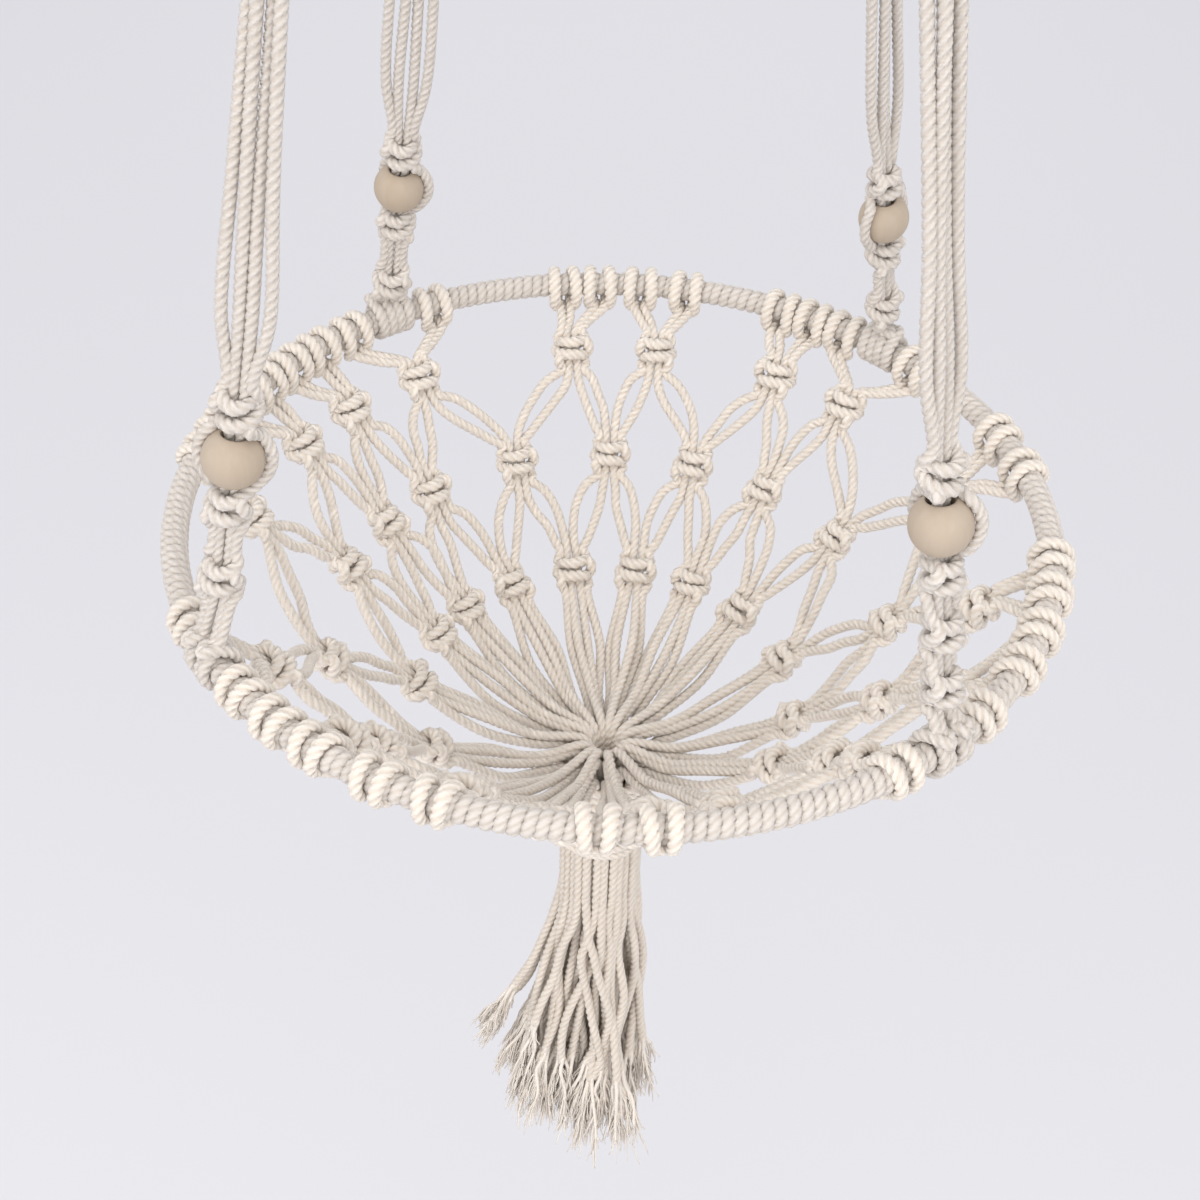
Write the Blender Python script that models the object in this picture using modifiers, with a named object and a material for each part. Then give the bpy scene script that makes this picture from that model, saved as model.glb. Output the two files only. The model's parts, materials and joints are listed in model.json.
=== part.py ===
"""A hanging macrame planter: a wrapped hoop on four beaded straps, with a knotted net bowl and a tassel.

Everything hangs from one wooden ring. The origin is the point at the top of the ring's eye where a
hook carries it, +Z points up, and -Y is the front. All sizes are in metres and all angles in degrees,
counted from +X towards +Y.
"""

from math import acos, cos, pi, radians, sin, sqrt

import bmesh
import bpy
from mathutils import Matrix, Vector

# Cord and clearances
CORD = 0.0042                 # thickness of the three-strand cotton cord
GAP = 0.0004                  # air left between pieces that touch
CORD_CLEARANCE = 0.0008       # between two cords that lie side by side
BEAD_CLEARANCE = 0.0006       # between a bead and the cords round it
BORE_CLEARANCE = 0.0010       # all round the cords in a bead's bore
LOOP_CLEARANCE = 0.0006       # between the ring's bar and the cords folded over it
HITCH_CLEARANCE = 0.0006      # between the winding and what is hitched over it
KNOT_LENGTH = 0.0160          # a square knot, along its cords
KNOT_SLACK = 0.0017           # how much wider a square knot is than its four cords
HITCH_SLACK = 0.0025          # how much longer a lark's head is than its two turns

# Hanging ring and the gathering below it
RING_RADIUS = 0.0255          # to the middle of the ring's bar
RING_BAR = 0.0085             # thickness of the bar
LOOP_DROP = 0.0080            # from the ring's lowest point to the gathering
GATHER_LENGTH = 0.0450
GATHER_RADIUS = 0.0150

# Hoop
HOOP_RADIUS = 0.1620          # to the middle of the steel rod
HOOP_ROD = 0.0040             # thickness of the rod
COIL_THICKNESS = 0.0030       # cord wound tightly, pulled flat
STRAP_DROP = 0.7800           # from the gathering down to the hoop

# Beads
BEAD_RADIUS = 0.0100
BEAD_BORE = 0.0088

# Net: each row of knots as the share of the way in from the hoop to the tie, and its depth below the hoop
FIRST_ROW = (0.1616, 0.0200)
SECOND_ROW = (0.3630, 0.0570)
THIRD_ROW = (0.6043, 0.0951)
NET_DEPTH = 0.1320            # from the hoop down to the tie's top
MOUTH_WIDTH = 0.0170          # where the cords turn down towards the tie, outside its own radius
MOUTH_RISE = 0.0050           # and above its top
MOUTH_DIP = 0.0030            # how far below its top they end
TIE_DISH = 0.0040             # how deep the tie's top is dished

# Bottom tie and tassel
TIE_LENGTH = 0.0470
NET_CORDS = 64                # all the cords of the net, bundled below it
PACKING = 0.825               # share of the bundle's section that is cord
NECK_LENGTH = 0.0050          # straight part below the neck's round top
SKIRT_LENGTH = 0.1860
SKIRT_RADIUS = 0.0400
SKIRT_END_RADIUS = 0.0300
# How the skirt spreads: share of the way down, share of the spread from the neck's radius
SKIRT_SHAPE = ((0.16, 0.35), (0.40, 0.66), (0.66, 0.95), (0.85, 1.0))

# Straps: name, angle on the hoop, direction in which the cords lie side by side, height of the bead
# above the hoop, height of the lowest knot, place of its row in the gathering from front to back
STRAPS = (
    ("back_right", 46.6, 47.0, 0.068, 0.0230, 0.5),
    ("back_left", 128.4, 5.0, 0.068, 0.0200, 1.5),
    ("front_left", 215.3, -12.0, 0.079, 0.0350, -0.5),
    ("front_right", 312.1, 44.0, 0.083, 0.0240, -1.5),
)

# Net units: the angles of a unit's two lark's heads and of its first knot. The ones on either side of a
# strap stand further apart. Placed by hand, so they aren't even.
UNITS = (
    (39.8, 53.4, 47.0),
    (59.0, 64.4, 61.0),
    (80.0, 87.3, 84.0),
    (93.9, 99.5, 99.0),
    (121.2, 135.6, 128.0),
    (142.0, 148.0, 143.5),
    (154.0, 160.0, 156.0),
    (166.0, 172.5, 177.0),
    (208.2, 222.4, 213.0),
    (229.0, 235.5, 232.0),
    (244.0, 251.5, 251.0),
    (269.5, 276.5, 276.0),
    (305.0, 319.2, 309.0),
    (329.5, 337.0, 329.0),
    (344.5, 351.5, 349.0),
    (371.5, 380.0, 377.0),
)

HOOP_SEGMENTS = 60
ROUND_SIDES = 8
TURN_STEPS = 16

# Sizes that follow from the cord: knots, folds, hitches and bundles
ROW_PITCH = CORD + CORD_CLEARANCE
KNOT_WIDTH = 4 * CORD + KNOT_SLACK
KNOT_DEPTH = 2 * CORD + CORD_CLEARANCE
LOOP_WIDTH = 4 * CORD
LOOP_THICKNESS = 2 * CORD
HITCH_LENGTH = 2 * CORD + HITCH_SLACK   # one lark's head, along the hoop
STRAP_HITCH_LENGTH = 4 * CORD
NET_PAIR = CORD * sqrt(2)               # two cords as one round run
NET_FOUR = 2 * CORD - GAP               # four cords as one round run
NET_FOUR_END = 1.6 * CORD               # the same, drawn tight at the tie
NET_KNOT_RADIUS = 2 * CORD - GAP
NET_KNOT_DEPTH = 2 * CORD
FILLER = BEAD_BORE - 2 * BORE_CLEARANCE  # the two cords that run through a bead
FILLER_BELOW = FILLER + 2 * GAP          # and below it, where nothing holds them together
NECK_RADIUS = CORD / 2 * sqrt(NET_CORDS / PACKING)
TIE_RADIUS = NECK_RADIUS + COIL_THICKNESS

# Places that follow from the sizes
RING_FOOT = -2 * RING_RADIUS + RING_BAR / 2
EYE_RADIUS = RING_RADIUS - RING_BAR / 2
EYE_RISE = EYE_RADIUS - sqrt(EYE_RADIUS ** 2 - (LOOP_WIDTH / 2) ** 2)
LOOP_INNER = RING_BAR / 2 + EYE_RISE + LOOP_CLEARANCE
GATHER_TOP = RING_FOOT - RING_BAR / 2 - LOOP_DROP
GATHER_FOOT = GATHER_TOP - GATHER_LENGTH
HOOP_Z = GATHER_FOOT - STRAP_DROP
COIL_RADIUS = HOOP_ROD / 2 + COIL_THICKNESS
HITCH_BORE = COIL_RADIUS + HITCH_CLEARANCE
HITCH_RADIUS = HITCH_BORE + CORD
TIE_TOP = HOOP_Z - NET_DEPTH
TIE_FOOT = TIE_TOP - TIE_LENGTH
NECK_PIVOT = TIE_FOOT - GAP - NECK_RADIUS
NECK_FOOT = NECK_PIVOT - NECK_LENGTH
SKIRT_PIVOT = NECK_FOOT - GAP - NECK_RADIUS
SKIRT_FOOT = SKIRT_PIVOT - SKIRT_LENGTH


def clear_scene():
    for obj in list(bpy.data.objects):
        bpy.data.objects.remove(obj, do_unlink=True)


def make_material(name, colour, roughness, metallic=0.0):
    material = bpy.data.materials.new(name)
    material.use_nodes = True
    shader = material.node_tree.nodes["Principled BSDF"]
    shader.inputs["Base Color"].default_value = (*colour, 1.0)
    shader.inputs["Roughness"].default_value = roughness
    shader.inputs["Metallic"].default_value = metallic
    material.diffuse_color = (*colour, 1.0)
    return material


def make_collection(name):
    collection = bpy.data.collections.new(name)
    bpy.context.scene.collection.children.link(collection)
    return collection


def place(name, mesh, material, matrix=None, collection=None):
    """A new object of this mesh, as a part unless another collection is given."""
    obj = bpy.data.objects.new(name, mesh)
    if material:
        mesh.materials.clear()
        mesh.materials.append(material)
    (collection or PARTS).objects.link(obj)
    if matrix:
        obj.matrix_world = matrix
    return obj


def polar(radius, angle, height=0.0):
    return Vector((radius * cos(radians(angle)), radius * sin(radians(angle)), height))


def frame(origin, x_axis, z_axis):
    """A matrix at origin, with its Z along z_axis and its X as near x_axis as it can be."""
    z = z_axis.normalized()
    y = z.cross(x_axis).normalized()
    x = y.cross(z)
    return Matrix.Translation(origin) @ Matrix((x, y, z)).transposed().to_4x4()


def baked(obj):
    """The object's evaluated mesh in world space. The object and its own data are removed."""
    bpy.context.view_layer.update()
    graph = bpy.context.evaluated_depsgraph_get()
    mesh = bpy.data.meshes.new_from_object(obj.evaluated_get(graph))
    mesh.transform(obj.matrix_world)
    bm = bmesh.new()
    bm.from_mesh(mesh)
    bmesh.ops.remove_doubles(bm, verts=bm.verts, dist=1e-6)
    bm.to_mesh(mesh)
    bm.free()
    bpy.data.objects.remove(obj, do_unlink=True)
    return mesh


def cord_curve(name, points, thickness, resolution=2, radii=None):
    """A round cord through the points, with closed ends."""
    curve = bpy.data.curves.new(name, "CURVE")
    curve.dimensions = "3D"
    curve.bevel_depth = thickness / 2
    curve.bevel_resolution = resolution
    curve.use_fill_caps = True
    spline = curve.splines.new("POLY")
    spline.points.add(len(points) - 1)
    for index, point in enumerate(points):
        spline.points[index].co = (*point, 1.0)
        spline.points[index].radius = radii[index] if radii else 1.0
    return curve


def cord_solid(points, thickness, resolution=1, radii=None):
    """The same cord as a mesh, ready to be joined to others."""
    curve = cord_curve("cord", points, thickness, resolution, radii)
    obj = bpy.data.objects.new("cord", curve)
    WORK.objects.link(obj)
    return place("cord", baked(obj), None, collection=WORK)


def turned_mesh(name, profile, steps, closed=False):
    """A mesh turned about Z from a profile of (radius, height) points, given top to bottom outside."""
    mesh = bpy.data.meshes.new(name)
    count = len(profile)
    edges = [(i, i + 1) for i in range(count - 1)]
    if closed:
        edges.append((count - 1, 0))
    mesh.from_pydata([(r, 0.0, z) for r, z in profile], edges, [])
    obj = bpy.data.objects.new(name, mesh)
    WORK.objects.link(obj)
    screw = obj.modifiers.new("turn", "SCREW")
    screw.steps = steps
    screw.render_steps = steps
    screw.use_merge_vertices = True
    screw.merge_threshold = 0.00001
    screw.use_smooth_shade = False
    return baked(obj)


def knot_solid(matrix, width=KNOT_WIDTH, depth=KNOT_DEPTH, length=KNOT_LENGTH):
    """A square knot as a block with chamfered edges: X is its width, Y its depth, Z its length."""
    bm = bmesh.new()
    bmesh.ops.create_cube(bm, size=1.0, matrix=Matrix.Diagonal((width, depth, length, 1.0)))
    bmesh.ops.bevel(bm, geom=bm.edges[:], offset=CORD / 3, segments=1, affect="EDGES")
    mesh = bpy.data.meshes.new("knot")
    bm.to_mesh(mesh)
    bm.free()
    return place("knot", mesh, None, matrix, WORK)


def drum_solid(matrix, radius, depth):
    """A knot of the net as a short drum about the matrix's Z."""
    bm = bmesh.new()
    bmesh.ops.create_cone(
        bm, cap_ends=True, segments=ROUND_SIDES, radius1=radius, radius2=radius, depth=depth
    )
    mesh = bpy.data.meshes.new("drum")
    bm.to_mesh(mesh)
    bm.free()
    return place("drum", mesh, None, matrix, WORK)


def hoop_frame(angle):
    """A frame on the hoop's centre line: Z along the hoop, X outwards."""
    outward = polar(1.0, angle)
    along = Vector((0, 0, 1)).cross(outward)
    return frame(polar(HOOP_RADIUS, angle, HOOP_Z), outward, along)


def hitch_solid(angle, length):
    """A lark's head as a short sleeve over the hoop's winding."""
    profile = (
        (HITCH_RADIUS, length / 2),
        (HITCH_RADIUS, -length / 2),
        (HITCH_BORE, -length / 2),
        (HITCH_BORE, length / 2),
    )
    mesh = turned_mesh("hitch", profile, ROUND_SIDES, closed=True)
    turn = Matrix.Rotation(pi / ROUND_SIDES, 4, "Z")
    return place("hitch", mesh, None, hoop_frame(angle) @ turn, WORK)


def joined(name, solids, material):
    """One part from solids that overlap."""
    base = solids[0]
    for solid in solids[1:]:
        union = base.modifiers.new("join", "BOOLEAN")
        union.operation = "UNION"
        union.solver = "EXACT"
        union.object = solid
    mesh = baked(base)
    for solid in solids[1:]:
        bpy.data.objects.remove(solid, do_unlink=True)
    mesh.name = name
    return place(name, mesh, material)


# --- Hanging ring, loops and gathering ---------------------------------------------------------------


def make_hanging_ring():
    bpy.ops.mesh.primitive_torus_add(
        major_radius=RING_RADIUS,
        minor_radius=RING_BAR / 2,
        major_segments=24,
        minor_segments=ROUND_SIDES,
        location=(0, 0, -RING_RADIUS + RING_BAR / 2),
        rotation=(pi / 2, 0, 0),
    )
    ring = bpy.context.object
    ring.name = "hanging_ring"
    for collection in list(ring.users_collection):
        collection.objects.unlink(ring)
    PARTS.objects.link(ring)
    ring.data.materials.append(WOOD)


def make_top_loops():
    """The folded cords over the ring's bar: a U in the YZ plane, as wide as the cords beside each other."""
    outer = LOOP_INNER + LOOP_THICKNESS
    leg_foot = GATHER_TOP + GAP - RING_FOOT
    arc = [radians(15 * k) for k in range(13)]
    outline = [(outer * cos(a), outer * sin(a)) for a in arc]
    outline += [(-outer, leg_foot), (-LOOP_INNER, leg_foot)]
    outline += [(-LOOP_INNER * cos(a), LOOP_INNER * sin(a)) for a in arc]
    outline += [(LOOP_INNER, leg_foot), (outer, leg_foot)]
    curve = bpy.data.curves.new("top_loops", "CURVE")
    curve.dimensions = "2D"
    curve.fill_mode = "BOTH"
    curve.extrude = LOOP_WIDTH / 2
    spline = curve.splines.new("POLY")
    spline.points.add(len(outline) - 1)
    for index, (y, z) in enumerate(outline):
        spline.points[index].co = (y, z, 0.0, 1.0)
    spline.use_cyclic_u = True
    curve.materials.append(COTTON)
    loops = bpy.data.objects.new("top_loops", curve)
    PARTS.objects.link(loops)
    loops.matrix_world = frame(Vector((0, 0, RING_FOOT)), Vector((0, 1, 0)), Vector((1, 0, 0)))


def make_gathering_wrap():
    edge = CORD / 2
    profile = (
        (0.0, GATHER_TOP),
        (GATHER_RADIUS - edge, GATHER_TOP),
        (GATHER_RADIUS, GATHER_TOP - edge),
        (GATHER_RADIUS, GATHER_FOOT + edge),
        (GATHER_RADIUS - edge, GATHER_FOOT),
        (0.0, GATHER_FOOT),
    )
    place("gathering_wrap", turned_mesh("gathering_wrap", profile, TURN_STEPS), COTTON)


# --- Straps ------------------------------------------------------------------------------------------


def strap_axes(index):
    """The strap's foot, its direction upwards, the direction across its cords, and the one it faces."""
    _, angle, across_angle, _, _, _ = STRAPS[index]
    foot = polar(HOOP_RADIUS, angle, HOOP_Z)
    up = (strap_top(index) - foot).normalized()
    across = polar(1.0, across_angle)
    across = (across - up * across.dot(up)).normalized()
    return foot, up, across, up.cross(across)


def strap_top(index):
    """The middle of the strap's row of cords at the gathering, where the four rows lie in layers."""
    layer = STRAPS[index][5]
    return Vector((0.0, layer * ROW_PITCH, GATHER_FOOT - 2 * GAP))


def make_strap_cords(index):
    """Four long cords, side by side, from the knot above the bead up to the gathering."""
    name, _, _, bead_height, _, _ = STRAPS[index]
    foot, up, across, _ = strap_axes(index)
    knot_top = bead_height + BEAD_RADIUS + GAP + KNOT_LENGTH
    for place_in_row in range(4):
        offset = (place_in_row - 1.5) * ROW_PITCH
        start = foot + up * (knot_top + GAP) + across * offset
        end = strap_top(index) + Vector((offset, 0.0, 0.0))
        curve = cord_curve("strap_cord", (start, end), CORD)
        curve.materials.append(COTTON)
        cord = bpy.data.objects.new(f"strap_cord_{name}_{place_in_row + 1}", curve)
        PARTS.objects.link(cord)


def make_bead(index):
    name, _, _, bead_height, _, _ = STRAPS[index]
    foot, up, across, _ = strap_axes(index)
    bore = BEAD_BORE / 2
    reach = acos(bore / BEAD_RADIUS)
    angles = [reach - 2 * reach * k / 8 for k in range(9)]
    profile = [(BEAD_RADIUS * cos(a), BEAD_RADIUS * sin(a)) for a in angles]
    profile[0] = (bore, BEAD_RADIUS * sin(reach))
    profile[-1] = (bore, -BEAD_RADIUS * sin(reach))
    mesh = turned_mesh(f"bead_{name}", profile, TURN_STEPS, closed=True)
    mesh.shade_smooth()
    bead = place(f"bead_{name}", mesh, WOOD, frame(foot + up * bead_height, across, up))
    bead.data.set_sharp_from_angle(angle=radians(40))


def make_strap_knots(index):
    """The knots round a bead, the cords through and past it, the lowest knot and its hitch on the hoop."""
    name, angle, _, bead_height, low_knot, _ = STRAPS[index]
    foot, up, across, _ = strap_axes(index)

    def at(height, aside=0.0):
        return foot + up * height + across * aside

    def knot_at(height):
        return knot_solid(frame(at(height), across, up))

    half = BEAD_RADIUS + GAP + KNOT_LENGTH / 2
    upper = bead_height + half
    lower = bead_height - half
    bulge = BEAD_RADIUS + BEAD_CLEARANCE + CORD / 2
    inset = KNOT_WIDTH / 2 - CORD / 2
    solids = [
        knot_at(upper),
        knot_at(lower),
        knot_at(low_knot),
        cord_solid((at(upper), at(lower)), FILLER, 2),
        cord_solid((at(lower), at(low_knot)), FILLER_BELOW),
    ]
    for side in (-1, 1):
        route = [at(upper, side * inset)]
        for turn in (60, 30, 0, -30, -60):
            reach = bulge * cos(radians(turn))
            rise = bulge * sin(radians(turn))
            route.append(at(bead_height + rise, side * max(reach, inset - GAP)))
        route.append(at(lower, side * inset))
        solids.append(cord_solid(route, CORD, 1))
    solids.append(hitch_solid(angle, STRAP_HITCH_LENGTH))
    wall = HITCH_BORE + CORD / 2
    for aside in (-NET_PAIR / 2, NET_PAIR / 2):
        solids.append(cord_solid((at(low_knot, aside), at(wall, aside)), CORD + GAP))
    joined(f"strap_knots_{name}", solids, COTTON)


# --- Hoop --------------------------------------------------------------------------------------------


def make_hoop_rod():
    bpy.ops.mesh.primitive_torus_add(
        major_radius=HOOP_RADIUS,
        minor_radius=HOOP_ROD / 2,
        major_segments=HOOP_SEGMENTS,
        minor_segments=6,
        location=(0, 0, HOOP_Z),
    )
    rod = bpy.context.object
    rod.name = "hoop_rod"
    for collection in list(rod.users_collection):
        collection.objects.unlink(rod)
    PARTS.objects.link(rod)
    rod.data.materials.append(STEEL)


def make_hoop_winding():
    """The cord wound round the rod, as a tube with a slit where its two ends meet below a strap."""
    slit = 0.5
    start = STRAPS[2][1] + slit
    sweep = 360 - 2 * slit
    mesh = bpy.data.meshes.new("hoop_winding")
    inner = HOOP_ROD / 2 + GAP
    ring = []
    for k in range(ROUND_SIDES):
        turn = 2 * pi * (k + 0.5) / ROUND_SIDES
        ring.append((cos(turn), sin(turn)))
    bm = bmesh.new()
    rows = []
    for step in range(HOOP_SEGMENTS + 1):
        angle = start + sweep * step / HOOP_SEGMENTS
        row = []
        for radius in (COIL_RADIUS, inner):
            for c, s in ring:
                point = polar(HOOP_RADIUS + radius * c, angle, HOOP_Z + radius * s)
                row.append(bm.verts.new(point))
        rows.append(row)
    n = ROUND_SIDES
    for first, second in zip(rows, rows[1:]):
        for k in range(n):
            following = (k + 1) % n
            bm.faces.new((first[k], second[k], second[following], first[following]))
            bm.faces.new(
                (first[n + following], second[n + following], second[n + k], first[n + k])
            )
    for row in (rows[0], rows[-1]):
        for k in range(n):
            following = (k + 1) % n
            bm.faces.new((row[k], row[following], row[n + following], row[n + k]))
    bmesh.ops.recalc_face_normals(bm, faces=bm.faces)
    bm.to_mesh(mesh)
    bm.free()
    place("hoop_winding", mesh, COTTON)


# --- Net ---------------------------------------------------------------------------------------------


def wrapped_mean(first, second):
    """The angle halfway from first on to second, going up."""
    while second < first:
        second += 360
    return (first + second) / 2


def row_angles():
    """The angles of the three rows of knots. Each row lies halfway between the knots above it."""
    count = len(UNITS)
    first = [unit[2] for unit in UNITS]
    second = [wrapped_mean(first[i], first[(i + 1) % count]) for i in range(count)]
    third = [wrapped_mean(second[i - 1], second[i]) for i in range(count)]
    return first, second, third


def net_point(row, angle):
    """A point of a row at this angle."""
    inward, depth = row
    return polar(HOOP_RADIUS + (TIE_RADIUS - HOOP_RADIUS) * inward, angle, HOOP_Z - depth)


def net_drum(row, angle, above, below):
    """A knot of the net, its depth square to the bowl's surface between the rows above and below."""
    slope = net_point(below, angle) - net_point(above, angle)
    across = Vector((0, 0, 1)).cross(polar(1.0, angle))
    outward = slope.cross(across)
    matrix = frame(net_point(row, angle), across, outward)
    return drum_solid(matrix, NET_KNOT_RADIUS, NET_KNOT_DEPTH)


def stand_off(target, own, other):
    """How far short of target's middle a run from other stops, so that it clears the knot and own's run."""
    between = (own - target).angle(other - target)
    beside = (NET_PAIR / 2 * (1 + cos(between)) + 2 * GAP) / sin(between)
    return max(NET_KNOT_RADIUS + 2 * GAP, beside)


def short_run(start, target, own):
    """A pair of cords from start that reaches the neighbour's knot at target."""
    way = (start - target).normalized()
    return cord_solid((start, target + way * stand_off(target, own, start)), NET_PAIR)


def make_net_section(index, first, second, third):
    """One sixteenth of the net: two lark's heads, three knots and their cords down to the tie."""
    count = len(UNITS)
    hoop_row = (0.0, 0.0)
    tie_row = (1.0, NET_DEPTH)
    knot_1 = net_point(FIRST_ROW, first[index])
    knot_2 = net_point(SECOND_ROW, second[index])
    knot_3 = net_point(THIRD_ROW, third[index])
    solids = [
        net_drum(FIRST_ROW, first[index], hoop_row, SECOND_ROW),
        net_drum(SECOND_ROW, second[index], FIRST_ROW, THIRD_ROW),
        net_drum(THIRD_ROW, third[index], SECOND_ROW, tie_row),
        cord_solid((knot_1, knot_2), NET_PAIR),
        cord_solid((knot_2, knot_3), NET_PAIR),
    ]
    before = index - 1
    after = (index + 1) % count
    upper_before = net_point(FIRST_ROW, first[before])
    knot_2_before = net_point(SECOND_ROW, second[before])
    solids.append(short_run(knot_1, knot_2_before, upper_before))
    knot_3_after = net_point(THIRD_ROW, third[after])
    knot_2_after = net_point(SECOND_ROW, second[after])
    solids.append(short_run(knot_2, knot_3_after, knot_2_after))
    for hitch_angle in UNITS[index][:2]:
        middle = polar(HOOP_RADIUS, hitch_angle, HOOP_Z)
        way = (knot_1 - middle).normalized()
        along = Vector((0, 0, 1)).cross(polar(1.0, hitch_angle))
        straight = (way - along * way.dot(along)).normalized()
        start = middle + straight * (HITCH_BORE + CORD / 2)
        bend = middle + straight * (HITCH_RADIUS + CORD / 2)
        solids.append(hitch_solid(hitch_angle, HITCH_LENGTH))
        solids.append(cord_solid((start, bend, knot_1), NET_PAIR))
    end_radius = TIE_RADIUS + NET_FOUR_END / 2 + GAP
    end = polar(end_radius, third[index], TIE_TOP - MOUTH_DIP)
    bend = polar(end_radius + MOUTH_WIDTH, third[index], TIE_TOP + MOUTH_RISE)
    shrink = NET_FOUR_END / NET_FOUR
    solids.append(cord_solid((knot_3, bend, end), NET_FOUR, 1, (1.0, (2 + shrink) / 3, shrink)))
    joined(f"net_section_{index + 1:02d}", solids, COTTON)


# --- Bottom tie and tassel ---------------------------------------------------------------------------


def make_bottom_tie():
    edge = CORD / 2
    profile = (
        (0.0, TIE_TOP - TIE_DISH),
        (TIE_RADIUS / 2, TIE_TOP - TIE_DISH / 2),
        (TIE_RADIUS - edge, TIE_TOP),
        (TIE_RADIUS, TIE_TOP - edge),
        (TIE_RADIUS, TIE_FOOT + edge),
        (TIE_RADIUS - edge, TIE_FOOT),
        (0.0, TIE_FOOT),
    )
    place("bottom_tie", turned_mesh("bottom_tie", profile, TURN_STEPS), COTTON)


def dome(pivot):
    """A quarter round of the neck's radius over a pivot, from its top down to the pivot's level."""
    turns = [radians(90 - 22.5 * k) for k in range(5)]
    points = [(NECK_RADIUS * cos(a), pivot + NECK_RADIUS * sin(a)) for a in turns]
    points[0] = (0.0, pivot + NECK_RADIUS)
    return points


def make_tassel_neck():
    profile = dome(NECK_PIVOT) + [(NECK_RADIUS, NECK_FOOT), (0.0, NECK_FOOT)]
    place("tassel_neck", turned_mesh("tassel_neck", profile, TURN_STEPS), COTTON)


def make_tassel_skirt():
    profile = dome(SKIRT_PIVOT)
    for share, spread in SKIRT_SHAPE:
        radius = NECK_RADIUS + (SKIRT_RADIUS - NECK_RADIUS) * spread
        profile.append((radius, SKIRT_PIVOT - SKIRT_LENGTH * share))
    profile += [(SKIRT_END_RADIUS, SKIRT_FOOT), (0.0, SKIRT_FOOT)]
    place("tassel_skirt", turned_mesh("tassel_skirt", profile, TURN_STEPS), COTTON)


clear_scene()
PARTS = make_collection("hanging_macrame_planter")
WORK = make_collection("working_solids")
COTTON = make_material("natural_cotton", (0.80, 0.74, 0.65), 0.92)
WOOD = make_material("pale_wood", (0.80, 0.66, 0.47), 0.55)
STEEL = make_material("steel_rod", (0.62, 0.62, 0.62), 0.35, 1.0)

make_hanging_ring()
make_top_loops()
make_gathering_wrap()
make_hoop_rod()
make_hoop_winding()
for strap_index in range(len(STRAPS)):
    make_strap_cords(strap_index)
    make_bead(strap_index)
    make_strap_knots(strap_index)
FIRST_ANGLES, SECOND_ANGLES, THIRD_ANGLES = row_angles()
for unit_index in range(len(UNITS)):
    make_net_section(unit_index, FIRST_ANGLES, SECOND_ANGLES, THIRD_ANGLES)
make_bottom_tie()
make_tassel_neck()
make_tassel_skirt()
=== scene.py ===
"""The looks of a hanging macrame planter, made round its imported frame.

Every cord is a laid rope of three strands that follows its own route: hitched on the hoop, knotted
into the net, bound in the tie and free in the tassel. All sizes are in metres unless a comment says
otherwise, and angles are in degrees, counted from +X towards +Y. -Y is the front.
"""

import json
from math import acos, cos, degrees, pi, radians, sin

import bpy
import numpy as np
from mathutils import Matrix, Vector


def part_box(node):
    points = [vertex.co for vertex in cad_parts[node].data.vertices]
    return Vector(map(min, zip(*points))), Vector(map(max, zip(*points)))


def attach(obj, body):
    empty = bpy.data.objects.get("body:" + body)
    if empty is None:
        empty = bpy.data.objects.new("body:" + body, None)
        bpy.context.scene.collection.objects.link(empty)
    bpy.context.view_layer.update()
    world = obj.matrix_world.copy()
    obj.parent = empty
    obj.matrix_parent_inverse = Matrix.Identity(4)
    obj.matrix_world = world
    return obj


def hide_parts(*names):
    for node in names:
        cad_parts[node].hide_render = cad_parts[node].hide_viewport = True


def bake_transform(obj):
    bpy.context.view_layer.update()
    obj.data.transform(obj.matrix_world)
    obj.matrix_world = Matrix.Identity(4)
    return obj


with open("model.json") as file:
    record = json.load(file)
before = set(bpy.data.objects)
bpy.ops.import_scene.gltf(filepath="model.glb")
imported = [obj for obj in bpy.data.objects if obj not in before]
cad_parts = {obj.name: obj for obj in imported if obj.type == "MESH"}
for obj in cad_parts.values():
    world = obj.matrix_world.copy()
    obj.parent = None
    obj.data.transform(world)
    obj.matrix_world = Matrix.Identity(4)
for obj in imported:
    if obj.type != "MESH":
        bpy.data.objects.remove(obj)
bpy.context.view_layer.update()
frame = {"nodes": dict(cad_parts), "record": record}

# Cord
CORD = 0.0044               # thickness of the laid rope
LAY = 0.0092                # length of one full turn of its strands
STEP = 0.0010               # spacing of the sections along a rope
LOBES = (1.0, 0.955, 0.80, 0.955) * 3   # the three strands round a section
WINDING_LOBES = (1.0, 0.97, 0.88, 0.97) * 3   # the same, rubbed smooth on the hoop
MM = 0.001

# Hoop and the rows of knots: radius, depth below the hoop
HOOP_RADIUS = 0.1620
ROD_RADIUS = 0.0020
WINDING_RADIUS = 0.0050     # outside of the winding
WINDING_TURNS = 238
FIRST_ROW = (0.1393, 0.0200)
SECOND_ROW = (0.1110, 0.0570)
THIRD_ROW = (0.0771, 0.0951)

# Straps, beads and wraps
ROW_PITCH = 0.0050          # spacing of the cords in a strap
BEAD_RADIUS = 0.0100
BEAD_BORE = 0.0088
GATHER_RADIUS = 0.0150      # outside of the gathering wrap
TIE_RADIUS = 0.0215         # outside of the bottom tie

# Straps: name, angle on the hoop, direction across its cords, height of the bead above the hoop,
# height of the lowest knot, place of its row in the gathering
STRAPS = (
    ("back_right", 46.6, 47.0, 0.068, 0.0230, 0.5),
    ("back_left", 128.4, 5.0, 0.068, 0.0200, 1.5),
    ("front_left", 215.3, -12.0, 0.079, 0.0350, -0.5),
    ("front_right", 312.1, 44.0, 0.083, 0.0240, -1.5),
)

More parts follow.
